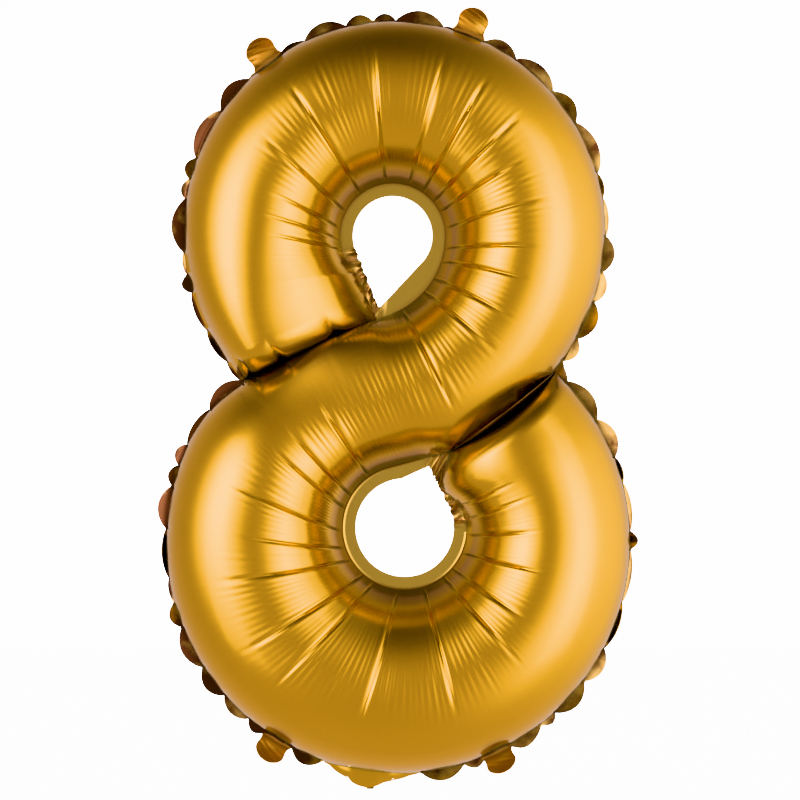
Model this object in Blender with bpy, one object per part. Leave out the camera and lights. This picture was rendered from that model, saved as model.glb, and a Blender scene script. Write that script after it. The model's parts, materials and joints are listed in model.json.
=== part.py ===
"""Gold foil number balloon "8", air filled, about 348 mm tall.

Two sheets of metallised film are welded together round the outline of the number and round its two
openings, so that the air between them makes one fat tube. The tube runs like an S: it starts at the left
waist, goes over the top, crosses the middle and ends at the right waist. Each end lies against the crossing
stretch, and only a narrow flat web joins them there.

Metres, +Z up, the front faces -Y, the weld lies in the plane y = 0, and z = 0 is the lowest edge.
"""

import math

import bmesh
import bpy
from mathutils import Matrix, Vector
from mathutils.geometry import delaunay_2d_cdt

# The film and its welded margin. Real film is far thinner: FILM is the thinnest wall drawn here.
FILM = 0.0004
HALF_GAP = 0.00015
PIECE_GAP = 0.0003
MARGIN = 0.0064
HOLE_MARGIN = 0.0058

# Sizes of the number, as seen from the front. The folded neck's underside is the lowest face, at z = 0.
UPPER_LOOP_RADIUS = 0.0939
LOWER_LOOP_RADIUS = 0.1032
FOLDED_NECK_DEPTH = 1.5 * PIECE_GAP + 2 * FILM
LOWER_LOOP_CENTRE = Vector((0.0, FOLDED_NECK_DEPTH + MARGIN + LOWER_LOOP_RADIUS))
UPPER_LOOP_CENTRE = LOWER_LOOP_CENTRE + Vector((-0.0017, 0.1376))
UPPER_HOLE_RADIUS = 0.0235
UPPER_HOLE_CENTRE = UPPER_LOOP_CENTRE + Vector((-0.0008, -0.0015))
LOWER_HOLE_RADIUS = 0.0277
LOWER_HOLE_CENTRE = LOWER_LOOP_CENTRE + Vector((0.0029, 0.0059))

# The points of the two drop-shaped openings: from the centre of each, towards its end of the tube.
UPPER_HOLE_TIP = UPPER_HOLE_CENTRE + Vector((-0.0062, -0.0325))
LOWER_HOLE_TIP = LOWER_HOLE_CENTRE + Vector((0.0108, 0.0275))

# Where the tube leaves each loop and crosses the middle. Angles and bearings are in degrees.
HOLE_EXIT_RADIUS = 0.0374
HOLE_EXIT_TURN = 64.0
SHOULDER_RADIUS = 0.0609
SHOULDER_FROM, SHOULDER_TO = 116.0, 155.0
WAIST_RADIUS = 0.1475
WAIST_FROM, WAIST_TO = -42.0, -66.0
WEB_WIDTH = 0.0022
UPPER_END_START = 0.0105
LOWER_END_EXTRA_TURN = 2.0

# Section of the tube.
DEPTH_SHARE = 0.96
MOST_HALF_WIDTH = 0.0385
END_CLOSURE = 0.022

# How finely curves are divided. Steps are counts; EDGE_STEP and SHARP_ANGLE are in degrees.
STATIONS_PER_STRETCH = (4, 10, 14, 10, 14, 12, 26, 6)
SECTION_STEPS = 12
EDGE_STEP = 3.5
SHARP_ANGLE = 40.0

# Self-sealing valve between the sheets, and the inflation neck, which is folded back under the balloon.
NECK_X = -0.0125
NECK_WIDTH = 0.026
NECK_LENGTH = 0.032
NECK_FUNNEL = 0.35 * NECK_LENGTH
NECK_FOOT_WIDTH = 0.86 * NECK_WIDTH
VALVE_WIDTH = 0.021
VALVE_LENGTH = 0.066
VALVE_BEVEL_WIDTH = VALVE_WIDTH / 4
VALVE_BEVEL_LENGTH = VALVE_LENGTH / 5
VALVE_FILM = 0.0002
NECK_OPENING = VALVE_FILM + 1.5 * PIECE_GAP
NECK_BLEND = 0.010

# Hanging tabs, which bend just outside the weld. Each has a bearing from its loop's centre and a lean
# towards the front, both in degrees.
TAB_WIDTH = 0.0145
TAB_ROOT_WIDTH = 0.94 * TAB_WIDTH
TAB_LENGTH = 0.0115
TAB_LEDGE = 0.0008
UPPER_TABS = {"hanging_tab_top_left": (126.5, 20.0), "hanging_tab_top_right": (69.5, 20.0)}
LOWER_TABS = {"hanging_tab_bottom_left": (-121.5, 30.0), "hanging_tab_bottom_right": (-65.0, 40.0)}

GOLD = (0.83, 0.55, 0.14, 1.0)
CLEAR_FILM = (0.80, 0.80, 0.78, 1.0)


def clear_scene():
    for obj in list(bpy.data.objects):
        bpy.data.objects.remove(obj, do_unlink=True)


# --- plane geometry -----------------------------------------------------------------------------------


def on_circle(centre, radius, degrees):
    angle = math.radians(degrees)
    return centre + radius * Vector((math.cos(angle), math.sin(angle)))


def arc(centre, radius, start, stop, steps):
    return [on_circle(centre, radius, start + (stop - start) * i / steps) for i in range(steps + 1)]


def line(start, stop, steps):
    return [start.lerp(stop, i / steps) for i in range(steps + 1)]


def bearing(centre, point):
    offset = point - centre
    return math.degrees(math.atan2(offset.y, offset.x))


def circle_crossing(first, first_radius, second, second_radius, side):
    """Where two circles cross, to the left (side 1) or right (-1) of the way from first to second."""
    between = second - first
    distance = between.length
    along = (distance**2 + first_radius**2 - second_radius**2) / (2 * distance)
    across = math.sqrt(first_radius**2 - along**2)
    forward = between / distance
    return first + along * forward + side * across * Vector((-forward.y, forward.x))


def circle_reached(start, direction, centre, radius):
    """The point where a ray that starts inside a circle leaves it."""
    offset = start - centre
    along = offset.dot(direction)
    return start + (math.sqrt(along**2 + radius**2 - offset.length_squared) - along) * direction


def respaced(points, steps):
    """The same line with its points evenly spaced."""
    lengths = [0.0]
    for before, after in zip(points, points[1:]):
        lengths.append(lengths[-1] + (after - before).length)
    found = []
    segment = 0
    for i in range(steps + 1):
        wanted = lengths[-1] * i / steps
        while segment < len(points) - 2 and lengths[segment + 1] < wanted:
            segment += 1
        share = (wanted - lengths[segment]) / (lengths[segment + 1] - lengths[segment])
        found.append(points[segment].lerp(points[segment + 1], min(max(share, 0.0), 1.0)))
    return found


def inside(point, outline):
    crossings = 0
    for start, stop in zip(outline, outline[1:] + outline[:1]):
        if (start.y > point.y) != (stop.y > point.y):
            share = (point.y - start.y) / (stop.y - start.y)
            crossings += point.x < start.x + share * (stop.x - start.x)
    return crossings % 2 == 1


# --- the two weld lines that bound the tube -------------------------------------------------------------

EXIT_CENTRE = UPPER_HOLE_CENTRE + Vector((UPPER_HOLE_RADIUS - HOLE_EXIT_RADIUS, 0.0))
SHOULDER_CENTRE = on_circle(LOWER_LOOP_CENTRE, LOWER_LOOP_RADIUS - SHOULDER_RADIUS, SHOULDER_TO)
WAIST_CENTRE = on_circle(UPPER_LOOP_CENTRE, UPPER_LOOP_RADIUS - WAIST_RADIUS, WAIST_FROM)
WAIST_RIGHT = circle_crossing(WAIST_CENTRE, WAIST_RADIUS + WEB_WIDTH, LOWER_LOOP_CENTRE, LOWER_LOOP_RADIUS, 1)
WEB_TOP = on_circle(EXIT_CENTRE, HOLE_EXIT_RADIUS, -HOLE_EXIT_TURN)
WEB_FOOT = on_circle(SHOULDER_CENTRE, SHOULDER_RADIUS, SHOULDER_FROM)


def upper_end():
    """The weld that closes the tube at the left waist, from the upper opening out to the outline."""
    along = (WEB_FOOT - WEB_TOP).normalized()
    lift = Vector((along.y, -along.x)) * WEB_WIDTH
    corner = WEB_TOP + lift + UPPER_END_START * along
    notch = circle_reached(corner, along, UPPER_LOOP_CENTRE, UPPER_LOOP_RADIUS)
    return corner, notch


def lower_end():
    """The weld that closes the tube at the right waist, from the lower opening out to the outline."""
    start = bearing(WAIST_CENTRE, WAIST_RIGHT)
    first = WAIST_TO + LOWER_END_EXTRA_TURN
    return arc(WAIST_CENTRE, WAIST_RADIUS + WEB_WIDTH, first, start, SECTION_STEPS)


def inner_then_outer():
    """The weld that starts round the upper opening and ends round the outside of the lower loop."""
    steps = STATIONS_PER_STRETCH
    corner, _ = upper_end()
    lower_start = bearing(LOWER_LOOP_CENTRE, WAIST_RIGHT) + 360.0
    bends = arc(EXIT_CENTRE, HOLE_EXIT_RADIUS, 0.0, -HOLE_EXIT_TURN, 12)
    shoulder = arc(SHOULDER_CENTRE, SHOULDER_RADIUS, SHOULDER_FROM, SHOULDER_TO, 12)
    return [
        line(corner, on_circle(UPPER_HOLE_CENTRE, UPPER_HOLE_RADIUS, 205.0), steps[0]),
        arc(UPPER_HOLE_CENTRE, UPPER_HOLE_RADIUS, 205.0, 120.0, steps[1]),
        arc(UPPER_HOLE_CENTRE, UPPER_HOLE_RADIUS, 120.0, 0.0, steps[2]),
        respaced(bends, steps[3]),
        line(WEB_TOP, WEB_FOOT, steps[4]),
        respaced(shoulder, steps[5]),
        arc(LOWER_LOOP_CENTRE, LOWER_LOOP_RADIUS, SHOULDER_TO, 385.0, steps[6]),
        arc(LOWER_LOOP_CENTRE, LOWER_LOOP_RADIUS, 385.0, lower_start, steps[7]),
    ]


def outer_then_inner():
    """The weld that starts round the outside of the upper loop and ends round the lower opening."""
    steps = STATIONS_PER_STRETCH
    _, notch = upper_end()
    corner = lower_end()[0]
    start = bearing(UPPER_LOOP_CENTRE, notch) + 360.0
    waist = arc(WAIST_CENTRE, WAIST_RADIUS, WAIST_FROM, WAIST_TO, 12)
    meeting = on_circle(LOWER_HOLE_CENTRE, LOWER_HOLE_RADIUS, 108.0)
    round_top = arc(LOWER_HOLE_CENTRE, LOWER_HOLE_RADIUS, 108.0, 150.0, 6)
    return [
        arc(UPPER_LOOP_CENTRE, UPPER_LOOP_RADIUS, start, 203.0, steps[0]),
        arc(UPPER_LOOP_CENTRE, UPPER_LOOP_RADIUS, 203.0, 120.0, steps[1]),
        arc(UPPER_LOOP_CENTRE, UPPER_LOOP_RADIUS, 120.0, 6.0, steps[2]),
        respaced(arc(UPPER_LOOP_CENTRE, UPPER_LOOP_RADIUS, 6.0, WAIST_FROM, 12) + waist[1:], steps[3]),
        respaced([waist[-1], meeting] + round_top[1:], steps[4]),
        arc(LOWER_HOLE_CENTRE, LOWER_HOLE_RADIUS, 150.0, 182.0, steps[5]),
        arc(LOWER_HOLE_CENTRE, LOWER_HOLE_RADIUS, 182.0, 364.0, steps[6]),
        respaced(arc(LOWER_HOLE_CENTRE, LOWER_HOLE_RADIUS, 364.0, 376.0, 3) + [corner], steps[7]),
    ]


def joined(stretches):
    """One line from stretches that share their end points."""
    points = list(stretches[0])
    for stretch in stretches[1:]:
        points.extend(stretch[1:])
    return points


INNER_THEN_OUTER = joined(inner_then_outer())
OUTER_THEN_INNER = joined(outer_then_inner())


# --- outlines -------------------------------------------------------------------------------------------


def edge_with_tabs(centre, weld_radius, start, stop, tabs):
    """A clockwise stretch of the cut edge round a loop, cut back almost to the weld behind each tab."""
    edge = weld_radius + MARGIN
    half = math.degrees((TAB_WIDTH / 2 + 2 * PIECE_GAP) / edge)
    points = []
    reached = start
    for bend in sorted((bearing for bearing, _ in tabs.values()), reverse=True):
        steps = math.ceil((reached - bend) / EDGE_STEP)
        points += arc(centre, edge, reached, bend + half, steps)
        points += arc(centre, weld_radius + TAB_LEDGE, bend + half, bend - half, 4)
        reached = bend - half
    return points + arc(centre, edge, reached, stop, math.ceil((reached - stop) / EDGE_STEP))


def outer_outline():
    """The cut edge of the sheets, one margin outside the weld."""
    upper = UPPER_LOOP_RADIUS + MARGIN
    lower = LOWER_LOOP_RADIUS + MARGIN
    shoulder = SHOULDER_RADIUS + MARGIN
    waist = WAIST_RADIUS + MARGIN
    left = circle_crossing(UPPER_LOOP_CENTRE, upper, SHOULDER_CENTRE, shoulder, -1)
    right = circle_crossing(WAIST_CENTRE, waist, LOWER_LOOP_CENTRE, lower, 1)
    left_high = bearing(UPPER_LOOP_CENTRE, left) + 360.0
    left_low = bearing(SHOULDER_CENTRE, left)
    right_high = bearing(WAIST_CENTRE, right)
    right_low = bearing(LOWER_LOOP_CENTRE, right)
    outline = edge_with_tabs(UPPER_LOOP_CENTRE, UPPER_LOOP_RADIUS, left_high, WAIST_FROM, UPPER_TABS)
    outline += arc(WAIST_CENTRE, waist, WAIST_FROM, right_high, 4)[1:]
    lower_stop = SHOULDER_TO - 360.0
    outline += edge_with_tabs(LOWER_LOOP_CENTRE, LOWER_LOOP_RADIUS, right_low, lower_stop, LOWER_TABS)[1:]
    outline += arc(SHOULDER_CENTRE, shoulder, SHOULDER_TO, left_low, 12)[1:-1]
    return outline


def teardrop(centre, radius, start, stop, tip):
    """A round opening drawn out to a point."""
    return arc(centre, radius, start, stop, 28) + [tip]


def openings():
    """The cut edges of the two openings, one margin inside the weld, each drawn out beside the tube's end."""
    upper_radius = UPPER_HOLE_RADIUS - HOLE_MARGIN
    lower_radius = LOWER_HOLE_RADIUS - HOLE_MARGIN
    return [
        teardrop(UPPER_HOLE_CENTRE, upper_radius, 204.0, -38.0, UPPER_HOLE_TIP),
        teardrop(LOWER_HOLE_CENTRE, lower_radius, 94.0, 384.0, LOWER_HOLE_TIP),
    ]


# --- the inflated sheets --------------------------------------------------------------------------------


def neck_lift(point):
    """How far each sheet stands off its neighbour where the valve passes between them."""
    if point.y > LOWER_LOOP_CENTRE.y - LOWER_HOLE_RADIUS:
        return 0.0
    beyond = abs(point.x - NECK_X) - VALVE_WIDTH / 2 - NECK_BLEND / 2
    return NECK_OPENING * min(max(1.0 - beyond / NECK_BLEND, 0.0), 1.0)


def closure(distance):
    """The share of its full depth that the tube has at this distance from the weld across its end."""
    share = min(distance / END_CLOSURE, 1.0)
    return math.sqrt(1.0 - (1.0 - share) ** 2)


def end_distance(point, weld):
    return min((point - place).length for place in weld)


def leg_near_end(station):
    """Whether a station belongs to the stretch next to one of the tube's closed ends."""
    first = sum(STATIONS_PER_STRETCH[:3])
    last = sum(STATIONS_PER_STRETCH[:6])
    return station < first or station > last


def tube_grid():
    """Points of the tube's front, as rows of (place, depth) from one weld line to the other."""
    corner, notch = upper_end()
    first_end = line(corner, notch, 4 * SECTION_STEPS)
    last_end = lower_end()
    rows = []
    for i, (near, far) in enumerate(zip(INNER_THEN_OUTER, OUTER_THEN_INNER)):
        end = first_end if 2 * i < len(INNER_THEN_OUTER) else last_end
        half_width = min((far - near).length / 2, MOST_HALF_WIDTH)
        row = []
        for k in range(SECTION_STEPS + 1):
            angle = math.pi * k / SECTION_STEPS
            place = near.lerp(far, (1 - math.cos(angle)) / 2)
            share = closure(end_distance(place, end)) if leg_near_end(i) else 1.0
            row.append((place, half_width * DEPTH_SHARE * math.sin(angle) * share))
        rows.append(row)
    rows[0] = [(place, 0.0) for place, _ in rows[0]]
    rows[-1] = [(place, 0.0) for place in reversed(last_end)]
    return rows


def add_tube(bm, rows):
    """The inflated part of a sheet. Returns the vertices round its weld, in order."""
    grid = [[bm.verts.new((p.x, -depth, p.y)) for p, depth in row] for row in rows]
    for row, following in zip(grid, grid[1:]):
        for k in range(SECTION_STEPS):
            bm.faces.new((row[k], following[k], following[k + 1], row[k + 1]))
    rim = grid[0][:]
    rim += [row[-1] for row in grid[1:]]
    rim += list(reversed(grid[-1][:-1]))
    rim += [row[0] for row in reversed(grid[1:-1])]
    return rim


def add_margin(bm, rim):
    """The flat welded margin outside the tube, inside its openings and across the two waists."""
    weld = [Vector((v.co.x, v.co.z)) for v in rim]
    outline = outer_outline()
    holes = openings()
    points = []
    edges = []
    for loop in [weld, outline] + holes:
        first = len(points)
        points += loop
        edges += [(first + i, first + (i + 1) % len(loop)) for i in range(len(loop))]
    coords, _, faces, sources, _, _ = delaunay_2d_cdt(points, edges, [], 0, 1e-7)
    verts = {}
    for i, (co, source) in enumerate(zip(coords, sources)):
        on_rim = [s for s in source if s < len(rim)]
        verts[i] = rim[on_rim[0]] if on_rim else None
    for face in faces:
        centre = sum((coords[i] for i in face), Vector((0.0, 0.0))) / len(face)
        if not inside(centre, outline) or inside(centre, weld) or any(inside(centre, h) for h in holes):
            continue
        for i in face:
            if verts[i] is None:
                verts[i] = bm.verts.new((coords[i].x, 0.0, coords[i].y))
        bm.faces.new([verts[i] for i in face])


def foil_panel(name, back):
    bm = bmesh.new()
    rim = add_tube(bm, tube_grid())
    add_margin(bm, rim)
    for vert in bm.verts:
        vert.co.y -= HALF_GAP + neck_lift(Vector((vert.co.x, vert.co.z)))
    bmesh.ops.recalc_face_normals(bm, faces=bm.faces[:])
    bm.faces.ensure_lookup_table()
    tallest = min(bm.faces, key=lambda face: face.calc_center_median().y)
    if tallest.normal.y > 0:
        bmesh.ops.reverse_faces(bm, faces=bm.faces[:])
    if back:
        bmesh.ops.scale(bm, vec=(1.0, -1.0, 1.0), verts=bm.verts[:])
        bmesh.ops.reverse_faces(bm, faces=bm.faces[:])
    obj = add_object(name, bm)
    solidify = obj.modifiers.new("film", "SOLIDIFY")
    solidify.thickness = FILM
    solidify.offset = 1.0
    solidify.use_even_offset = False
    return obj


# --- tabs, neck and valve -------------------------------------------------------------------------------


def plate(outline, low, high):
    """A flat piece of film: an outline in x and z, from y = low to y = high."""
    bm = bmesh.new()
    bottom = [bm.verts.new((p.x, low, p.y)) for p in outline]
    bm.faces.new(bottom)
    made = bmesh.ops.extrude_face_region(bm, geom=bm.faces[:])
    moved = [item for item in made["geom"] if isinstance(item, bmesh.types.BMVert)]
    bmesh.ops.translate(bm, vec=(0.0, high - low, 0.0), verts=moved)
    bmesh.ops.recalc_face_normals(bm, faces=bm.faces[:])
    return bm


def tab_outline():
    """A tab that stands along +z from its root: slightly waisted sides under a round end."""
    half = TAB_WIDTH / 2
    top = Vector((0.0, TAB_LENGTH - half))
    root = [Vector((-TAB_ROOT_WIDTH / 2, 0.0)), Vector((TAB_ROOT_WIDTH / 2, 0.0))]
    return root + arc(top, half, 0.0, 180.0, 16)


def hanging_tab(name, centre, radius, bearing_degrees, lean_degrees):
    """Both sheets welded flat together, hinged just outside the weld."""
    obj = add_object(name, plate(tab_outline(), -FILM, FILM))
    root = on_circle(centre, radius + TAB_LEDGE + PIECE_GAP + FILM, bearing_degrees)
    lean = Matrix.Rotation(math.radians(lean_degrees), 4, "X")
    turn = Matrix.Rotation(math.radians(90.0 - bearing_degrees), 4, "Y")
    obj.matrix_world = Matrix.Translation((root.x, 0.0, root.y)) @ turn @ lean


def neck_ply(name, low, high, pivot):
    """One ply of the inflation neck, drawn hanging down from its fold; the pivot then turns it back."""
    half = NECK_WIDTH / 2
    foot_half = NECK_FOOT_WIDTH / 2
    outline = [
        Vector((-half, 0.0)),
        Vector((-foot_half, -NECK_FUNNEL)),
        Vector((-foot_half, -NECK_LENGTH)),
        Vector((foot_half, -NECK_LENGTH)),
        Vector((foot_half, -NECK_FUNNEL)),
        Vector((half, 0.0)),
    ]
    obj = add_object(name, plate(outline, low, high))
    obj.parent = pivot
    return obj


def inflation_neck():
    """Two unwelded plies that turn together about the fold at the bottom edge."""
    pivot = bpy.data.objects.new("inflation_neck_fold", None)
    bpy.context.scene.collection.objects.link(pivot)
    pivot.location = neck_fold()
    pivot.rotation_euler = (math.radians(90.0), 0.0, 0.0)
    start = PIECE_GAP / 2
    neck_ply("inflation_neck_front_ply", -start - FILM, -start, pivot)
    neck_ply("inflation_neck_back_ply", start, start + FILM, pivot)


def neck_fold():
    """The middle of the neck's fold line, just outside the cut edge of the sheets."""
    low = LOWER_LOOP_CENTRE.y - LOWER_LOOP_RADIUS - MARGIN
    return Vector((NECK_X, 0.0, low - FILM - PIECE_GAP))


def valve_film(name, side):
    """One ply of the flat check valve, from the middle of the margin up into the tube."""
    half = VALVE_WIDTH / 2
    low = LOWER_LOOP_CENTRE.y - LOWER_LOOP_RADIUS - MARGIN / 2
    high = low + VALVE_LENGTH
    left, right = NECK_X - half, NECK_X + half
    outline = [
        Vector((left, low)),
        Vector((right, low)),
        Vector((right, high - VALVE_BEVEL_LENGTH)),
        Vector((right - VALVE_BEVEL_WIDTH, high)),
        Vector((left + VALVE_BEVEL_WIDTH, high)),
        Vector((left, high - VALVE_BEVEL_LENGTH)),
    ]
    near = PIECE_GAP / 2
    low_y, high_y = sorted((side * near, side * (near + VALVE_FILM)))
    add_object(name, plate(outline, low_y, high_y))


# --- materials and assembly -----------------------------------------------------------------------------


def principled(name, colour, roughness, metallic):
    material = bpy.data.materials.get(name) or bpy.data.materials.new(name)
    material.use_nodes = True
    shader = material.node_tree.nodes["Principled BSDF"]
    shader.inputs["Base Color"].default_value = colour
    shader.inputs["Roughness"].default_value = roughness
    shader.inputs["Metallic"].default_value = metallic
    material.diffuse_color = colour
    return material


def gold_foil():
    return principled("gold_foil", GOLD, 0.30, 1.0)


def clear_film():
    return principled("clear_film", CLEAR_FILM, 0.25, 0.0)


def add_object(name, bm):
    mesh = bpy.data.meshes.new(name)
    bm.to_mesh(mesh)
    bm.free()
    mesh.shade_smooth()
    mesh.set_sharp_from_angle(angle=math.radians(SHARP_ANGLE))
    obj = bpy.data.objects.new(name, mesh)
    bpy.context.scene.collection.objects.link(obj)
    obj.data.materials.append(clear_film() if name.startswith("valve") else gold_foil())
    return obj


def build():
    clear_scene()
    foil_panel("front_foil_panel", back=False)
    foil_panel("back_foil_panel", back=True)
    valve_film("valve_film_front", -1)
    valve_film("valve_film_back", 1)
    inflation_neck()
    for name, (place, lean) in UPPER_TABS.items():
        hanging_tab(name, UPPER_LOOP_CENTRE, UPPER_LOOP_RADIUS, place, lean)
    for name, (place, lean) in LOWER_TABS.items():
        hanging_tab(name, LOWER_LOOP_CENTRE, LOWER_LOOP_RADIUS, place, lean)


build()
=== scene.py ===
"""Looks of the gold foil number balloon: inflated film with radial gathers, ruffled welded margins,
crumpled opening edges, curled hanging tabs and a folded inflation neck, in soft studio light.

Metres, +Z up, the front faces -Y. Plane points are (x, z) pairs held in numpy arrays.
"""

import math

import bpy
import numpy as np
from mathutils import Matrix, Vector
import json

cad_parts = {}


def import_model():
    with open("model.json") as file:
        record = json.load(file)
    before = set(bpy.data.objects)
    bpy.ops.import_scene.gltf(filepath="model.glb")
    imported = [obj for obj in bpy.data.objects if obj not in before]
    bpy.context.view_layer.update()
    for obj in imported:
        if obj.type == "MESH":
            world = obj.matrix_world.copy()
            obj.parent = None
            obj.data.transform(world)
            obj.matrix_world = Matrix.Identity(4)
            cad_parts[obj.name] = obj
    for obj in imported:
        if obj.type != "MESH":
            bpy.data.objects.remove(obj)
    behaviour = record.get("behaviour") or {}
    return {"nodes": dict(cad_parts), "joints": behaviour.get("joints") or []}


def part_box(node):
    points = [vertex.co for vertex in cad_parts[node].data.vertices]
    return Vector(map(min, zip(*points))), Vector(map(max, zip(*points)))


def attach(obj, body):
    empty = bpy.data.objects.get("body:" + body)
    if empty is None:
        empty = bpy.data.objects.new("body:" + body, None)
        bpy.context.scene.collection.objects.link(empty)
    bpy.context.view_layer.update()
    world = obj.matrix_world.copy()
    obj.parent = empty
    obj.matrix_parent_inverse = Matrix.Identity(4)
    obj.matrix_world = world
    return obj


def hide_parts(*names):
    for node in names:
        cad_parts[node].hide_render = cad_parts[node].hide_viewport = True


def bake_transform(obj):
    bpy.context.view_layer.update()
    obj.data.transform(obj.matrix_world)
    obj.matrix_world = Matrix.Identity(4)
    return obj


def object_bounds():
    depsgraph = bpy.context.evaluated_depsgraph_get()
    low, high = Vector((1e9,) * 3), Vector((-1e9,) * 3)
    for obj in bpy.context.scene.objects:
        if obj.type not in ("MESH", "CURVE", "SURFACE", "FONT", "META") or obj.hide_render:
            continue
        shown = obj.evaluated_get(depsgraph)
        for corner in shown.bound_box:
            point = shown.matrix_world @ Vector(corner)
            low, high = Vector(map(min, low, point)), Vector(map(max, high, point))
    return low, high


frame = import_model()
CAD_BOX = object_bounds()
PANEL_LOW, PANEL_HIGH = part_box("front_foil_panel")

# Film and margins. Edges of the film sharper than CRISP_EDGE degrees are not shaded smooth.
MARGIN = 0.0064
HOLE_MARGIN = 0.0058
FILM = 0.00022
HALF_SEAM = 0.00003
CRISP_EDGE = 82.0

# The number's outline, the same shape as the CAD panels, placed by their box. Angles are in degrees. The cut
# edge of an opening is round between two bearings and runs straight to its tip from there.
UPPER_LOOP_RADIUS = 0.0939
LOWER_LOOP_RADIUS = (PANEL_HIGH.x - PANEL_LOW.x) / 2 - MARGIN
LOWER_LOOP_CENTRE = np.array(((PANEL_LOW.x + PANEL_HIGH.x) / 2, PANEL_LOW.z + MARGIN + LOWER_LOOP_RADIUS))
UPPER_LOOP_CENTRE = np.array((LOWER_LOOP_CENTRE[0] - 0.0017, PANEL_HIGH.z - MARGIN - UPPER_LOOP_RADIUS))
UPPER_HOLE_RADIUS = 0.0235
UPPER_HOLE_CENTRE = UPPER_LOOP_CENTRE + (-0.0008, -0.0015)
LOWER_HOLE_RADIUS = 0.0277
LOWER_HOLE_CENTRE = LOWER_LOOP_CENTRE + (0.0029, 0.0059)
HOLE_EXIT_RADIUS = 0.0374
HOLE_EXIT_TURN = 64.0
SHOULDER_RADIUS = 0.0609
SHOULDER_FROM, SHOULDER_TO = 116.0, 155.0
WAIST_RADIUS = 0.1475
WAIST_FROM, WAIST_TO = -42.0, -66.0
WEB_WIDTH = 0.0022
UPPER_END_START = 0.0105
LOWER_END_EXTRA_TURN = 2.0
UPPER_TIP = UPPER_HOLE_CENTRE + (-0.0062, -0.0325)
LOWER_TIP = LOWER_HOLE_CENTRE + (0.0108, 0.0275)
UPPER_CUT_EDGE, UPPER_CRUMPLED = (204.0, -38.0), (196.0, 262.0)
LOWER_CUT_EDGE, LOWER_CRUMPLED = (94.0, 384.0), (2.0, 70.0)

# Bearings in degrees where the weld leaves each opening, and how the gathered film draws it into the lower
# opening beyond that: (bearing, distance from the centre).
UPPER_LEAVE = 226.0
LOWER_LEAVE = 367.0
LOWER_CUFF = ((20.0, 0.0270), (36.0, 0.0243), (47.0, 0.0247), (55.0, 0.0285))

# Bearings where the welds' stretches meet, round each opening and, across the tube, round the outside.
UPPER_RING_TURNS = (120.0, 0.0)
UPPER_OUTSIDE_TURNS = (203.0, 120.0, 6.0)
LOWER_RING_TURNS = (108.0, 150.0, 182.0, 364.0)
LOWER_OUTSIDE_TURN = 385.0

# The inflated tube: how deep it is, how fast it closes at its two ends, and how far it bulges over the webs.
DEPTH_SHARE = 0.96
MOST_HALF_WIDTH = 0.0385
UPPER_END_CLOSURE = 0.0095
LOWER_END_CLOSURE = 0.0085
OVERHANG = 0.00138
OVERHANG_REACH = 0.0075

# The share of its height up to which the tube presses against its own closed ends, and the distances from
# the weld over which the film rises to it and starts to bulge.
CONTACT = 0.52
CONTACT_RISE, OVERHANG_RISE = 0.0003, 0.00025

# How far the crest of the tube leans to the outside next to the upper closed end.
CREST_LEAN = 0.24

# How sharply the tube bends at its crest on the side of an opening, against 0.5 for a round section.
CONE_BEND = 0.675

# How finely the tube is divided. Points are crowded towards its ends over END_CROWDING.
DETAIL = 15
STRETCH_STATIONS = [count * DETAIL for count in (4, 10, 14, 10, 14, 12, 26, 6)]
SECTION_STEPS = 24
SPACING_SMOOTHING = 2.2 * DETAIL
END_CROWDING = 0.006

# Main radial creases: the bearing from the opening's centre, and how far across the tube each one reaches.
UPPER_CREASES = (
    (196, 0.40), (184, 0.46), (172, 0.44), (153, 0.61), (128, 0.73), (97, 0.80), (72, 0.77), (54, 0.72),
    (38, 0.67), (25, 0.52), (7, 0.60), (-14, 0.54), (-28, 0.52), (-45, 0.52), (-60, 0.60), (-83, 0.74),
)
LOWER_CREASES = (
    (125, 0.60), (150, 0.58), (163, 0.54), (184, 0.63), (198, 0.54), (210, 0.68), (228, 0.69), (241, 0.70),
    (264, 0.72), (288, 0.66), (309, 0.57), (320, 0.48), (336, 0.45), (352, 0.38), (369, 0.36), (382, 0.32),
)

# The gathers: creases with low lips, the lobes that swell between them, and fine streaks over both, with
# lower puckers at the weld.
CREASE_DEPTH = 0.00095
CREASE_WIDTH = 0.00058
CREASE_DEPTHS = (0.75, 1.2)
CREASE_TILT = 0.4
CREASE_STEEPNESS = 0.32
LOBE_HEIGHT = 0.00050
STREAK_HEIGHT = 0.00009
STREAK_PITCH = 0.0027
LIP_SHARE, PUCKER_SHARE = 0.18, 0.4

# Ruffles of the outer margin: their length, their share of the flat margin's width, their swing in y, the
# shares of that length they vary between, and the least width of the margin.
RUFFLE_PITCH = 0.0155
RUFFLE_SHARE = 0.72
RUFFLE_SWING = 0.0024
RUFFLE_LENGTHS = (0.5, 1.6)
LEAST_RUFFLE = 0.0004

# How deep the tube is pulled in where ruffles meet, wide and narrow, and at a tab's root.
WIDE_DIMPLE, NARROW_DIMPLE = 0.0006, 0.0005
TAB_DIMPLE, TAB_DIMPLE_SPREAD = 0.0012, 0.0085

# The bottom margin is below LOWEST. The neck: where it starts there, how far it parts the sheets, how high it
# curls up behind, and how its width grows from its root, as shares of its flat width.
LOWEST = LOWER_LOOP_CENTRE[1] / 2
NECK_X = -0.0125
NECK_HALF_WIDTH = 0.013
NECK_PUFF = 0.0022
NECK_CURL = 0.0115
NECK_ROOT_SHARE, NECK_FLARE = 0.12, 0.74

# Where the upper closed end is pinched, measured from its corner at the opening.
UPPER_END_PINCHES = (0.0106, 0.0334, 0.0559)
PINCH_WIDTH = 0.0007
PINCH_DEPTH, SHOULDER_DEPTH = 0.0009, 0.0007

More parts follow.
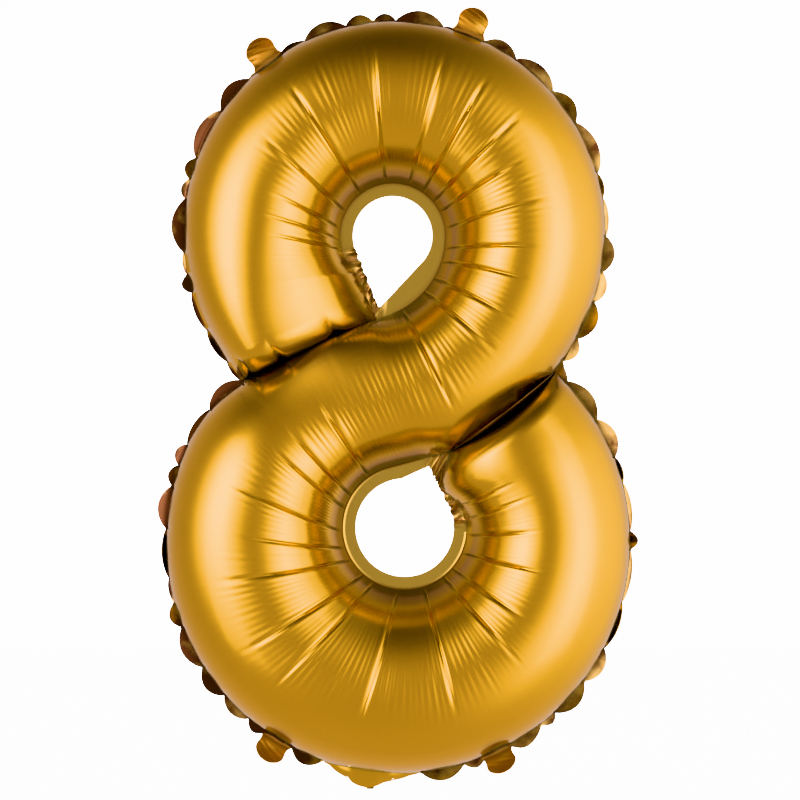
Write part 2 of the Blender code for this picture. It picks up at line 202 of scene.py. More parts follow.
# The hanging tabs.
TABS = [f"hanging_tab_{end}_{side}" for end in ("top", "bottom") for side in ("left", "right")]
TAB_HALF_WIDTH = 0.0073
TAB_LENGTH = 0.0116
TAB_FILM = 0.0003
TAB_HALF_SLOT = 0.0086
TAB_ROOT_REACH = 0.0015
TAB_WAIST, TAB_FOOT = 0.12, 0.12
TAB_CURL, TAB_ARCH = 0.0016, 0.0013

# The crumpled stretch of an opening's cut edge swings in y, coarsely and finely, and is drawn to the centre.
CRUMPLE_SWING, CRUMPLE_PITCH = 0.00182, 0.0125
FINE_SWING, FINE_PITCH = 0.0007, 0.0047
DRAW, DRAW_PITCH = 0.0007, 0.0072

# The studio: soft patches of light as (azimuth, falloffs to the left and right, height, falloff up and down,
# strength), with angles in degrees, and walls that are brighter below and behind and dark overhead.
GLOWS = (
    (-45.0, (23.0, 18.0), 8.0, 21.0, 5.6),
    (43.0, (20.0, 21.0), -3.0, 26.0, 3.4),
    (82.0, (40.0, 44.0), 2.0, 40.0, 1.2),
)
GLOW_TINT = (0.8, 0.8, 0.8, 1.0)
WALLS, WALLS_BELOW, WALLS_BEHIND = 0.38, 0.15, 0.22
OVERHEAD_FALL, OVERHEAD_POWER = 1.6, 4.5
WALL_TINT = (1.06, 0.97, 1.05, 1.0)
BACKDROP_TINT, BACKDROP = (1.0, 1.0, 1.0, 1.0), 6.0

# Each reflection in the foil yellows the light, which these tints make up for after two reflections and
# after more. The soft patches are dimmed to SECOND_GLOW after two and are gone after more.
SECOND_TINT, SECOND_GLOW = (0.70, 1.00, 1.60, 1.0), 0.14
LATER_TINT = (0.95, 2.6, 9.0, 1.0)

# Looks of the film: light colour, dark colour, roughness, strength of the stretch marks, patchiness. On the
# ruffles the dark colour is painted shade, laid on in patches and more towards the left by the patchiness, as
# it is more faintly on the tabs; the web film is painted near-black shadow.
FOIL_LOOKS = {
    "gold_foil": ((0.95, 0.51, 0.050, 1.0), (0.93, 0.49, 0.045, 1.0), 0.19, 0.04, 0.0),
    "gold_foil_weld": ((0.70, 0.46, 0.10, 1.0), (0.66, 0.42, 0.09, 1.0), 0.30, 0.0, 0.0),
    "gold_foil_ruffle_painted_shade": ((0.90, 0.55, 0.16, 1.0), (0.10, 0.032, 0.010, 1.0), 0.24, 0.05, 3.0),
    "gold_foil_tab": ((1.0, 0.56, 0.085, 1.0), (0.84, 0.38, 0.050, 1.0), 0.42, 0.05, 1.0),
    "gold_foil_web_painted_shadow": ((0.09, 0.045, 0.015, 1.0), (0.06, 0.03, 0.01, 1.0), 0.40, 0.0, 0.0),
}

# Painted shade on patchy film: how strongly its patches part, how light it is on the whole, and the size of
# its patches, against the size of the faint clouds of tone on plain film.
PATCH_CONTRAST, PATCH_LIGHTNESS = 3.2, 0.20
PATCH_SCALE, CLOUD_SCALE = 75.0, 28.0

# How many stretch marks a metre of film has, along the stroke and across it.
STRETCH_MARKS = (620.0, 34.0, 1.0)

# Painted shade: film next to an opening, a web or a tab is painted brown over this width as shade, and
# painted nearly black as shadow where two sides of the tube press together over a web.
PAINTED_SHADE_WIDTH = 0.0059
SHADE_BROWN = (0.42, 0.20, 0.055, 1.0)
GROOVE_SHADOW = (0.07, 0.03, 0.010, 1.0)
GROOVE_SHADOW_WIDTH = 0.0006
GROOVE_SHADOW_AMOUNT = 1.7

# Which material a patch of film takes.
TUBE, RING, RUFFLE, WEB = range(4)


# --- plane geometry ---


def on_circle(centre, radius, degrees):
    angle = np.radians(degrees)
    return np.asarray(centre) + radius * np.stack([np.cos(angle), np.sin(angle)], axis=-1)


def arc(centre, radius, start, stop, steps):
    return on_circle(centre, radius, np.linspace(start, stop, steps + 1))


def line(start, stop, steps):
    return np.linspace(start, stop, steps + 1)


def bearing(centre, point):
    offset = np.asarray(point) - centre
    return np.degrees(np.arctan2(offset[..., 1], offset[..., 0]))


def turn_between(first, second):
    return np.abs((first - second + 180.0) % 360.0 - 180.0)


def length(vectors):
    return np.linalg.norm(vectors, axis=-1)


def unit(vectors):
    return vectors / np.linalg.norm(vectors, axis=-1, keepdims=True)


def circle_crossing(first, first_radius, second, second_radius, side):
    """Where two circles cross, to the left (side 1) or right (-1) of the way from first to second."""
    between = second - first
    distance = length(between)
    along = (distance**2 + first_radius**2 - second_radius**2) / (2 * distance)
    across = math.sqrt(first_radius**2 - along**2)
    forward = between / distance
    return first + along * forward + side * across * np.array((-forward[1], forward[0]))


def circle_reached(start, direction, centre, radius):
    """The point where a ray that starts inside a circle leaves it."""
    offset = start - centre
    along = offset @ direction
    return start + (math.sqrt(along**2 + radius**2 - offset @ offset) - along) * direction


def lengths_along(points):
    steps = length(np.diff(points, axis=0))
    return np.concatenate([[0.0], np.cumsum(steps)])


def at_lengths(points, wanted):
    lengths = lengths_along(points)
    return np.stack([np.interp(wanted, lengths, points[:, axis]) for axis in range(points.shape[1])], axis=1)


def respaced(points, steps):
    """The same line with its points evenly spaced."""
    return at_lengths(points, np.linspace(0.0, lengths_along(points)[-1], steps + 1))


def joined(stretches):
    """One line from stretches that share their end points."""
    return np.concatenate([stretches[0]] + [stretch[1:] for stretch in stretches[1:]])


def smoothed(values, spread):
    """A running bell-shaped average that keeps the two end values."""
    reach = int(3 * spread)
    weights = np.exp(-0.5 * (np.arange(-reach, reach + 1) / spread) ** 2)
    weights /= weights.sum()
    before = 2 * values[0] - values[reach:0:-1]
    after = 2 * values[-1] - values[-2 : -reach - 2 : -1]
    return np.convolve(np.concatenate([before, values, after]), weights, mode="valid")


def smooth_step(values, low, high):
    share = np.clip((values - low) / (high - low), 0.0, 1.0)
    return share * share * (3.0 - 2.0 * share)


def plateau(values, rise_from, rise_to, fall_from, fall_to):
    """0, rising to 1 and falling back to 0."""
    return smooth_step(values, rise_from, rise_to) * (1.0 - smooth_step(values, fall_from, fall_to))


def wander(values, pitch, phase):
    """A smooth, irregular wave between about -1 and 1."""
    angle = 2.0 * math.pi * values / pitch + phase
    return 0.5 * np.sin(angle) + 0.3 * np.sin(1.73 * angle + 2.1 * phase) + 0.2 * np.sin(2.61 * angle + 0.7)


# --- weld lines ---

# The outline's circles, each as its centre and radius. LOWER_END is the weld of the tube's lower closed end.
UPPER_LOOP = (UPPER_LOOP_CENTRE, UPPER_LOOP_RADIUS)
LOWER_LOOP = (LOWER_LOOP_CENTRE, LOWER_LOOP_RADIUS)
UPPER_HOLE = (UPPER_HOLE_CENTRE, UPPER_HOLE_RADIUS)
LOWER_HOLE = (LOWER_HOLE_CENTRE, LOWER_HOLE_RADIUS)
EXIT = (UPPER_HOLE_CENTRE + (UPPER_HOLE_RADIUS - HOLE_EXIT_RADIUS, 0.0), HOLE_EXIT_RADIUS)
SHOULDER = (on_circle(LOWER_LOOP_CENTRE, LOWER_LOOP_RADIUS - SHOULDER_RADIUS, SHOULDER_TO), SHOULDER_RADIUS)
WAIST_CENTRE = on_circle(UPPER_LOOP_CENTRE, UPPER_LOOP_RADIUS - WAIST_RADIUS, WAIST_FROM)
LOWER_END = (WAIST_CENTRE, WAIST_RADIUS + WEB_WIDTH)
WAIST_RIGHT = circle_crossing(*LOWER_END, *LOWER_LOOP, 1)
WEB_TOP = on_circle(*EXIT, -HOLE_EXIT_TURN)
WEB_FOOT = on_circle(*SHOULDER, SHOULDER_FROM)
WEB_ALONG = unit(WEB_FOOT - WEB_TOP)
UPPER_CORNER = WEB_TOP + WEB_WIDTH * np.array((WEB_ALONG[1], -WEB_ALONG[0])) + UPPER_END_START * WEB_ALONG
UPPER_NOTCH = circle_reached(UPPER_CORNER, WEB_ALONG, *UPPER_LOOP)
LOWER_CORNER = on_circle(*LOWER_END, WAIST_TO + LOWER_END_EXTRA_TURN)


def evened(points):
    """The weld line with its change of spacing smoothed out, and its points crowded towards both ends."""
    lengths = smoothed(lengths_along(points), SPACING_SMOOTHING)
    total = lengths[-1]
    lengths = lengths * (1.0 - np.exp(-lengths / END_CROWDING))
    left = total - lengths
    return at_lengths(points, total - left * (1.0 - np.exp(-left / END_CROWDING)))


def inner_then_outer():
    """The weld that starts round the upper opening and ends round the outside of the lower loop."""
    steps = STRETCH_STATIONS
    top, right = UPPER_RING_TURNS
    last = bearing(LOWER_LOOP_CENTRE, WAIST_RIGHT) + 360.0
    stretches = [
        line(UPPER_CORNER, on_circle(*UPPER_HOLE, UPPER_LEAVE), steps[0]),
        arc(*UPPER_HOLE, UPPER_LEAVE, top, steps[1]),
        arc(*UPPER_HOLE, top, right, steps[2]),
        arc(*EXIT, right, -HOLE_EXIT_TURN, steps[3]),
        line(WEB_TOP, WEB_FOOT, steps[4]),
        arc(*SHOULDER, SHOULDER_FROM, SHOULDER_TO, steps[5]),
        arc(*LOWER_LOOP, SHOULDER_TO, LOWER_OUTSIDE_TURN, steps[6]),
        arc(*LOWER_LOOP, LOWER_OUTSIDE_TURN, last, steps[7]),
    ]
    return evened(joined(stretches))


def outer_then_inner():
    """The weld that starts round the outside of the upper loop and ends round the lower opening."""
    steps = STRETCH_STATIONS
    start = bearing(UPPER_LOOP_CENTRE, UPPER_NOTCH) + 360.0
    left, top, right = UPPER_OUTSIDE_TURNS
    ring_first, ring_second, ring_third, ring_last = LOWER_RING_TURNS
    turn = arc(*UPPER_LOOP, right, WAIST_FROM, 40)
    waist = arc(WAIST_CENTRE, WAIST_RADIUS, WAIST_FROM, WAIST_TO, 40)
    round_top = arc(*LOWER_HOLE, ring_first, ring_second, 40)
    cuff = np.array([on_circle(LOWER_HOLE_CENTRE, radius, degrees) for degrees, radius in LOWER_CUFF])
    ring_end = arc(*LOWER_HOLE, ring_last, LOWER_LEAVE, 4)
    cuff = respaced(np.concatenate([ring_end, cuff, [LOWER_CORNER]]), 60)
    cuff = np.stack([smoothed(cuff[:, 0], 3.0), smoothed(cuff[:, 1], 3.0)], axis=1)
    stretches = [
        arc(*UPPER_LOOP, start, left, steps[0]),
        arc(*UPPER_LOOP, left, top, steps[1]),
        arc(*UPPER_LOOP, top, right, steps[2]),
        respaced(joined([turn, waist]), steps[3]),
        respaced(np.concatenate([waist[-1:], round_top]), steps[4]),
        arc(*LOWER_HOLE, ring_second, ring_third, steps[5]),
        arc(*LOWER_HOLE, ring_third, ring_last, steps[6]),
        respaced(cuff, steps[7]),
    ]
    return evened(joined(stretches))


RAIL_A = inner_then_outer()
RAIL_B = outer_then_inner()
STATIONS = len(RAIL_A)
STATION = np.arange(STATIONS)
UPPER_END_LENGTH = length(UPPER_NOTCH - UPPER_CORNER)


def stations_before(stretch):
    return sum(STRETCH_STATIONS[:stretch])


def nearest(points, target, first=0):
    return first + int(np.argmin(length(points[first:] - target)))


# Where the webs start and end on the stretches that run past them.
UPPER_RING_END = nearest(RAIL_A, UPPER_CORNER, first=stations_before(3))
UPPER_WEB_END = nearest(RAIL_A, UPPER_NOTCH)
LOWER_WEB_START = nearest(RAIL_B[: stations_before(5)], WAIST_RIGHT)
LOWER_RING_START = nearest(RAIL_B[: stations_before(5)], LOWER_CORNER)

# The stretches next to the tube's two closed ends.
FIRST_LEG = slice(0, stations_before(2))
LAST_LEG = slice(stations_before(6), STATIONS)


# --- the inflated tube ---


def pinches(run, places, width):
    return sum(np.exp(-(((run - place) / width) ** 2)) for place in places)


def crowded_section():
    """Places across the upper closed end, crowded where it is pinched."""
    fine = np.linspace(0.0, 1.0, 2001)
    crowd = 1.0 + 6.0 * pinches(fine * UPPER_END_LENGTH, UPPER_END_PINCHES, 1.3 * PINCH_WIDTH)
    filled = np.cumsum(crowd) - crowd[0]
    return np.interp(np.linspace(0.0, filled[-1], SECTION_STEPS + 1), filled, fine)


def section_places():
    """Where each point lies across the tube, from 0 at one weld to 1 at the other: (stations, section)."""
    even = (1.0 - np.cos(np.linspace(0.0, math.pi, SECTION_STEPS + 1))) / 2.0
    at_end = (1.0 - smooth_step(STATION, 4 * DETAIL, 9 * DETAIL))[:, None]
    return even + (crowded_section() - even) * at_end


ACROSS = section_places()


def from_upper_end(places):
    """Distance from the upper end's weld, which is straight."""
    along = unit(UPPER_NOTCH - UPPER_CORNER)
    offset = places - UPPER_CORNER
    share = np.clip(offset @ along, 0.0, UPPER_END_LENGTH)
    return length(offset - share[..., None] * along)


def from_lower_end(places):
    """Distance from the lower end's weld, which is a stretch of circle."""
    around = bearing(WAIST_CENTRE, places)
    low = bearing(WAIST_CENTRE, LOWER_CORNER)
    high = bearing(WAIST_CENTRE, WAIST_RIGHT)
    foot = on_circle(*LOWER_END, np.clip(around, low, high))
    return length(places - foot)


def closure(distance, reach):
    """Height near a closed end: pressed flat against its neighbour up to CONTACT, then round."""
    share = np.clip(distance / reach, 0.0, 1.0)
    pressed = CONTACT * smooth_step(distance, 0.0, CONTACT_RISE)
    return pressed + (1.0 - CONTACT) * np.sqrt(1.0 - (1.0 - share) ** 2)


def smooth_tube():
    """The tube's front before any crease: (stations, section, 3)."""
    lean = CREST_LEAN * (1.0 - smooth_step(STATION, DETAIL, 8 * DETAIL))[:, None]
    leaning = ACROSS + lean * 4.0 * ACROSS * (1.0 - ACROSS) * (1.0 - 0.5 * ACROSS)
    places = RAIL_A[:, None] + (RAIL_B - RAIL_A)[:, None] * leaning[..., None]
    half_width = np.minimum(length(RAIL_B - RAIL_A) / 2.0, MOST_HALF_WIDTH)
    depth = smoothed(half_width, 2 * DETAIL)[:, None] * DEPTH_SHARE * section_heights(2.0 * ACROSS - 1.0)
    depth[FIRST_LEG] *= closure(from_upper_end(places[FIRST_LEG]), UPPER_END_CLOSURE)
    depth[LAST_LEG] *= closure(from_lower_end(places[LAST_LEG]), LOWER_END_CLOSURE)
    high, low = bearing(WAIST_CENTRE, WAIST_RIGHT), bearing(WAIST_CENTRE, LOWER_CORNER)
    places[-1] = arc(*LOWER_END, high, low, SECTION_STEPS)
    depth[0] = depth[-1] = 0.0
    depth[:, -1] = 0.0
    depth[:, 0] = neck_nearness(RAIL_A[:, 0]) * (RAIL_A[:, 1] < LOWER_LOOP_CENTRE[1]) * NECK_PUFF
    grown = places + end_overhang(places) + side_overhang(places)
    return np.stack([grown[..., 0], -depth, grown[..., 1]], axis=-1)


def beside_web(low, high):
    """1 at the stations that pass a web, falling to 0 beyond it."""
    return plateau(STATION, low - DETAIL, low + 5 * DETAIL, high - 8 * DETAIL, high + DETAIL)


def section_heights(place):
    """Height across the tube, from -1 at one weld to 1 at the other: round, but drawn straighter towards an
    opening, where the gathers pull on the film."""
    ring_end, ring_start = UPPER_RING_END, LOWER_RING_START
    to_upper = plateau(STATION, 3 * DETAIL, 9 * DETAIL, ring_end - 3 * DETAIL, ring_end + DETAIL)
    end = STATIONS - 3 * DETAIL
    to_lower = plateau(STATION, ring_start - DETAIL, ring_start + 3 * DETAIL, end - 6 * DETAIL, end)
    drawn = np.where(place < 0.0, to_upper[:, None], to_lower[:, None])
    pressed = np.where(place < 0.0, beside_web(UPPER_RING_END, UPPER_WEB_END)[:, None],
                       beside_web(LOWER_WEB_START, LOWER_RING_START)[:, None])
    pressed = CONTACT * pressed * smooth_step(1.0 - np.abs(place), 0.0, 0.008)
    round_height = pressed + (1.0 - pressed) * np.sqrt(np.maximum(1.0 - place**2, 0.0))
    straight_height = 1.0 - CONE_BEND * place**2 - (1.0 - CONE_BEND) * place**4
    return round_height + (straight_height - round_height) * drawn


def neck_nearness(x):
    """1 across the neck's root, falling to 0 beside it."""
    return 1.0 - smooth_step(np.abs(x - NECK_X), 0.6 * NECK_HALF_WIDTH, 1.25 * NECK_HALF_WIDTH)


def neck_taper(x):
    """1 in the middle of the neck's root, falling like a funnel to 0 beside it."""
    return np.clip(1.0 - np.abs(x - NECK_X) / (1.35 * NECK_HALF_WIDTH), 0.0, 1.0)


def swelling(gap):
    """How strongly film this far from a web's weld bulges over the web."""
    return smooth_step(gap, 0.0, OVERHANG_RISE) * np.exp(-((gap / OVERHANG_REACH) ** 2))


def end_overhang(places):
    """In-plane shift of the two closed ends over their webs, scalloped between the pinches."""
    shift = np.zeros_like(places)
    run = ACROSS[FIRST_LEG] * UPPER_END_LENGTH
    over = np.array((-WEB_ALONG[1], WEB_ALONG[0]))
    over *= np.sign((WEB_TOP - UPPER_CORNER) @ over)
    scallop = 1.0 - 0.35 * pinches(run, UPPER_END_PINCHES, PINCH_WIDTH)
    amount = OVERHANG * swelling(from_upper_end(places[FIRST_LEG])) * scallop
    shift[FIRST_LEG] = amount[..., None] * over
    amount = OVERHANG * swelling(from_lower_end(places[LAST_LEG]))
    shift[LAST_LEG] = amount[..., None] * unit(WAIST_CENTRE - places[LAST_LEG])
    return shift


def side_overhang(places):
    """In-plane shift of the stretches that pass the webs."""
    shift = np.zeros_like(places)
    for column, low, high in ((0, UPPER_RING_END, UPPER_WEB_END), (-1, LOWER_WEB_START, LOWER_RING_START)):
        fade = plateau(STATION, low - DETAIL, low + DETAIL, high - DETAIL, high + DETAIL)
        inward = unit(places[:, SECTION_STEPS // 2] - places[:, column])
        gap = length(places - places[:, column][:, None])
        shift -= (OVERHANG * swelling(gap) * fade[:, None])[..., None] * inward[:, None]
    return shift


def painted_shade_on_tube(places):
    """How much shade is painted on the tube's film: 1, a painted dark shade, at the openings and the tabs,
    falling to 0 away from them, and above 1, a painted near-black shadow, where it is pressed together over a
    web."""
    amount = np.zeros(places.shape[:2])
    for rail, window in ((RAIL_A, slice(0, UPPER_RING_END)), (RAIL_B, slice(LOWER_RING_START, STATIONS))):
        gap = length(places[window] - rail[window][:, None])
        order = np.arange(len(gap))
        closed_end = order if window.start == 0 else order[::-1]
        faded = smooth_step(closed_end, 4 * DETAIL, 11 * DETAIL)
        faded = faded * smooth_step(closed_end[::-1], 0, 3 * DETAIL)
        amount[window] = np.exp(-((gap / PAINTED_SHADE_WIDTH) ** 4)) * faded[:, None]
    for rail, low, high, strength in ((RAIL_A, UPPER_RING_END, UPPER_WEB_END, 0.8),
                                      (RAIL_B, LOWER_WEB_START, LOWER_RING_START, 0.5)):
        gap = length(places - rail[:, None])
        along = strength * beside_web(low - 2 * DETAIL, high + 2 * DETAIL)[:, None]
        amount = np.maximum(amount, along * np.exp(-((gap / PAINTED_SHADE_WIDTH) ** 2)))
    for leg, gap, reach in ((FIRST_LEG, from_upper_end(places[FIRST_LEG]), 0.45),
                            (LAST_LEG, from_lower_end(places[LAST_LEG]), 0.75)):
        amount[leg] = np.maximum(amount[leg], 0.8 * np.exp(-((gap / (reach * PAINTED_SHADE_WIDTH)) ** 2)))
    amount = np.maximum(amount, tab_nearness(places, TAB_HALF_WIDTH))
    # Painted near-black shadow where the tube presses together over the webs, along the stretches that pass
    # them and at the two closed ends.
    amount[UPPER_RING_END:UPPER_WEB_END, :2] = GROOVE_SHADOW_AMOUNT
    amount[LOWER_WEB_START:LOWER_RING_START, -1] = GROOVE_SHADOW_AMOUNT
    amount[lengths_along(RAIL_A) < GROOVE_SHADOW_WIDTH / 2] = GROOVE_SHADOW_AMOUNT
    beyond = WAIST_RADIUS + WEB_WIDTH - length(places[LAST_LEG] - WAIST_CENTRE)
    over_web = smooth_step(beyond, GROOVE_SHADOW_WIDTH, OVERHANG - GROOVE_SHADOW_WIDTH / 2)
    amount[LAST_LEG] = np.maximum(amount[LAST_LEG], GROOVE_SHADOW_AMOUNT * over_web)
    return amount


def outward(grid):
    """Unit normals of a grid of points, facing away from the air inside."""
    along = np.gradient(grid, axis=0)
    across = np.gradient(grid, axis=1)
    normal = np.cross(along, across)
    size = np.linalg.norm(normal, axis=-1, keepdims=True)
    normal = normal / np.maximum(size, 1e-12)
    flip = np.sign(-(normal[..., 1].mean()))
    return normal * flip


def crease_stations(creases, rail, centre, window):
    """The station on this weld line that each crease starts from."""
    around = bearing(centre, rail[window])
    found = []
    for degrees, reach in creases:
        nearest_one = int(np.argmin(turn_between(around, degrees)))
        found.append((window.start + nearest_one, reach))
    return sorted(found)


def gathers(grid, creases, from_far_side, lead_in, lead_out, seed):
    """Height of the radial gathers that fan out from one opening over the tube. The leads say how far the
    fine streaks go on past the first and the last crease."""
    t = 1.0 - ACROSS if from_far_side else ACROSS
    station = STATION[:, None]
    spacing = length(np.gradient(grid, axis=0))
    places = np.array([place for place, _ in creases], float)
    reaches = np.array([reach for _, reach in creases])
    reach = np.interp(station[:, 0], places, reaches)[:, None]
    before, after = lead_in * DETAIL, lead_out * DETAIL
    start, stop = places[0], places[-1]
    fade = plateau(station, start - before, start - 0.5 * before, stop + 0.5 * after, stop + after)
    height = np.zeros(grid.shape[:2])
    random = np.random.default_rng(seed)
    for place, this_reach in creases:
        tilt = random.uniform(-CREASE_TILT, CREASE_TILT) * DETAIL
        depth = CREASE_DEPTH * random.uniform(*CREASE_DEPTHS)
        aside = (station - place - tilt * (t - 0.1)) * spacing
        steep = CREASE_STEEPNESS * np.sign(random.uniform(-1.0, 1.0))
        width = CREASE_WIDTH * (0.75 + 0.9 * t) * (1.0 + steep * np.sign(aside))
        along = plateau(t, 0.0, 0.05, this_reach - 0.16, this_reach)
        lip = np.exp(-(((np.abs(aside) - 2.4 * width) / (1.6 * width)) ** 2))
        height -= depth * along * np.exp(-((aside / width) ** 2))
        height += LIP_SHARE * depth * along * lip
    between = np.searchsorted(places, station[:, 0]).clip(1, len(places) - 1)
    low, high = places[between - 1], places[between]
    share = np.clip((station[:, 0] - low) / np.maximum(high - low, 1.0), 0.0, 1.0)
    lobe = (1.0 - np.abs(2.0 * share - 1.0) ** 2.6)[:, None]
    swell = plateau(t, 0.0, 0.10, reach - 0.35, reach + 0.02)
    height += LOBE_HEIGHT * lobe * swell * fade
    run = lengths_along(0.5 * (RAIL_A + RAIL_B))[:, None]
    wave = np.sin(2 * math.pi * run / STREAK_PITCH + 2.2 * wander(run, 0.031, seed))
    edge = reach + 0.05 * wander(run, 0.012, seed + 1.3)
    strength = 0.55 + 0.45 * wander(run, 0.019, seed + 0.4)
    band = plateau(t, 0.20, 0.42, edge - 0.10, edge + 0.03)
    height += STREAK_HEIGHT * wave * strength * band * fade
    pucker = np.sin(2 * math.pi * run / (0.8 * STREAK_PITCH) + 1.9 * wander(run, 0.023, seed + 2.0))
    height += PUCKER_SHARE * STREAK_HEIGHT * pucker * plateau(t, 0.0, 0.02, 0.06, 0.22) * fade
    return height


def ruffle_pattern(run, seed):
    """Along an outer weld: where in its lobe each point lies, and each lobe's own size and side."""
    random = np.random.default_rng(seed)
    edges = [0.0]
    while edges[-1] < run[-1]:
        edges.append(edges[-1] + RUFFLE_PITCH * random.uniform(*RUFFLE_LENGTHS))
    edges = np.array(edges)
    lobe = np.searchsorted(edges, run, side="right").clip(1, len(edges) - 1) - 1
    share = (run - edges[lobe]) / (edges[lobe + 1] - edges[lobe])
    span = np.diff(edges, append=edges[-1] + RUFFLE_PITCH) / RUFFLE_PITCH
    size = (np.clip(0.45 + 0.5 * span, 0.5, 1.12) * random.choice((1.0, 1.0, 0.9, 0.35), len(edges)))[lobe]
    side = np.where(np.arange(len(edges)) % 2 == 0, 1.0, -1.0)
    side = (side * random.uniform(0.35, 1.0, len(edges)))[lobe]
    return share, size, side


def outer_margins():
    """Both outer welds as (stations, side of the tube, outward directions, ruffle pattern)."""
    found = []
    for window, far_side, rail, seed in (
        (slice(0, LOWER_WEB_START + 1), True, RAIL_B, 11),
        (slice(UPPER_WEB_END, STATIONS), False, RAIL_A, 23),
    ):
        points = rail[window]
        forward = unit(np.gradient(points, axis=0))
        left = np.stack([-forward[:, 1], forward[:, 0]], axis=1)
        out = left if far_side else -left
        pattern = ruffle_pattern(lengths_along(points), seed)
        found.append((window, far_side, out, pattern))
    return found


OUTER_MARGINS = outer_margins()


def joint_of(body):
    """The joint that carries a body, and its place."""
    joint = next(joint for joint in frame["joints"] if joint["child"] == body)
    return joint, Vector(joint["pos_m"])


def tab_centre(name):
    """Where a tab's root lies along the weld, in the plane."""
    _, root = joint_of(name)
    return np.array((root.x, root.z))


def tab_nearness(points, spread):
    """1 at a tab's root, falling to 0 away from it."""
    gap = np.min([length(points - tab_centre(name)) for name in TABS], axis=0)
    return np.exp(-((gap / spread) ** 4))


def edge_dimples(grid):
    """The tube pulls in where the outer margin is gathered, at the tabs and along its two closed ends."""
    section = np.arccos(1.0 - 2.0 * ACROSS) / math.pi
    height = np.zeros(grid.shape[:2])
    for window, far_side, _, (share, size, _) in OUTER_MARGINS:
        near = (1.0 - section if far_side else section)[window]
        cusp = np.minimum(share, 1.0 - share)
        pull = WIDE_DIMPLE * np.exp(-((cusp * 5.0) ** 2)) + NARROW_DIMPLE * np.exp(-((cusp * 17.0) ** 2))
        height[window] -= (pull * size)[:, None] * np.exp(-((near / 0.075) ** 2))
        root = tab_nearness((RAIL_B if far_side else RAIL_A)[window], TAB_DIMPLE_SPREAD)
        height[window] -= TAB_DIMPLE * root[:, None] * np.exp(-((near / 0.12) ** 2))
    gap = from_upper_end(grid[FIRST_LEG][..., (0, 2)])
    height[FIRST_LEG] -= end_puffs(gap, ACROSS[FIRST_LEG] * UPPER_END_LENGTH)
    return height


def end_puffs(gap, run):
    """Depth of the pinches at the upper closed end, each a sharp crease between two soft shoulders."""
    crease = PINCH_DEPTH * pinches(run, UPPER_END_PINCHES, PINCH_WIDTH)
    shoulder = SHOULDER_DEPTH * pinches(run, UPPER_END_PINCHES, 4.0 * PINCH_WIDTH)
    return (crease + shoulder) * np.exp(-((gap / 0.0075) ** 3))


def tube():
    """The tube's front with all its gathers."""
    grid = smooth_tube()
    normals = outward(grid)
    upper_window = slice(0, stations_before(5))
    lower_window = slice(stations_before(4), STATIONS)
    upper = crease_stations(UPPER_CREASES, RAIL_A, UPPER_HOLE_CENTRE, upper_window)
    lower = crease_stations(LOWER_CREASES, RAIL_B, LOWER_HOLE_CENTRE, lower_window)
    height = gathers(grid, upper, False, 2, 8, 5) + gathers(grid, lower, True, 9, 2, 8) + edge_dimples(grid)
    height *= plateau(STATION, 0, 4, STATIONS - 5, STATIONS - 1)[:, None]
    rim = smooth_step(np.minimum(ACROSS, 1.0 - ACROSS), 0.0, 0.0004)
    return grid + normals * (height * rim)[..., None]


# --- margins ---

# Rows of points of a margin, from its weld at 0 to its cut edge at 1.
TO_CUT_EDGE = np.linspace(0.0, 1.0, 5)


def ruffled_margin(weld, out, pattern, points):
    """Rows of points from the weld to the ruffled cut edge."""
    share, size, side = pattern
    bulge = np.sin(math.pi * share)
    slot = tab_nearness(points, TAB_HALF_SLOT)
    neck = neck_taper(points[:, 0]) * (points[:, 1] < LOWEST)
    _, fold = joint_of("inflation_neck")
    width = RUFFLE_SHARE * MARGIN * (0.06 + 0.94 * bulge**0.75) * size * (1.0 - 0.93 * slot) + LEAST_RUFFLE
    to_fold = (points[:, 1] - fold.z) / np.maximum(-out[:, 1], 0.5)
    width = width * (1.0 - neck) + to_fold * neck
    swing = RUFFLE_SWING * side * bulge * (1.0 - slot) * (1.0 - neck)
    reach = width[:, None] * TO_CUT_EDGE
    x = weld[:, 0:1] + out[:, 0:1] * reach
    z = weld[:, 2:3] + out[:, 1:2] * reach
    bent = swing[:, None] * (0.35 * TO_CUT_EDGE + 0.65 * TO_CUT_EDGE**2)
    y = weld[:, 1:2] * (1.0 - TO_CUT_EDGE**2) + bent
    return np.stack([x, y, z], axis=-1)


def cut_edge_at(degrees, centre, radius, start, stop, tip):
    """The cut edge of an opening at these bearings from its centre."""
    outline = joined([line(tip, on_circle(centre, radius, start), 40), arc(centre, radius, start, stop, 200),
                      line(on_circle(centre, radius, stop), tip, 40)])
    around = bearing(centre, outline) % 360.0
    away = length(outline - centre)
    reach = np.interp(degrees % 360.0, around, away, period=360.0)
    return centre + (on_circle(centre, 1.0, degrees) - centre) * reach[:, None]


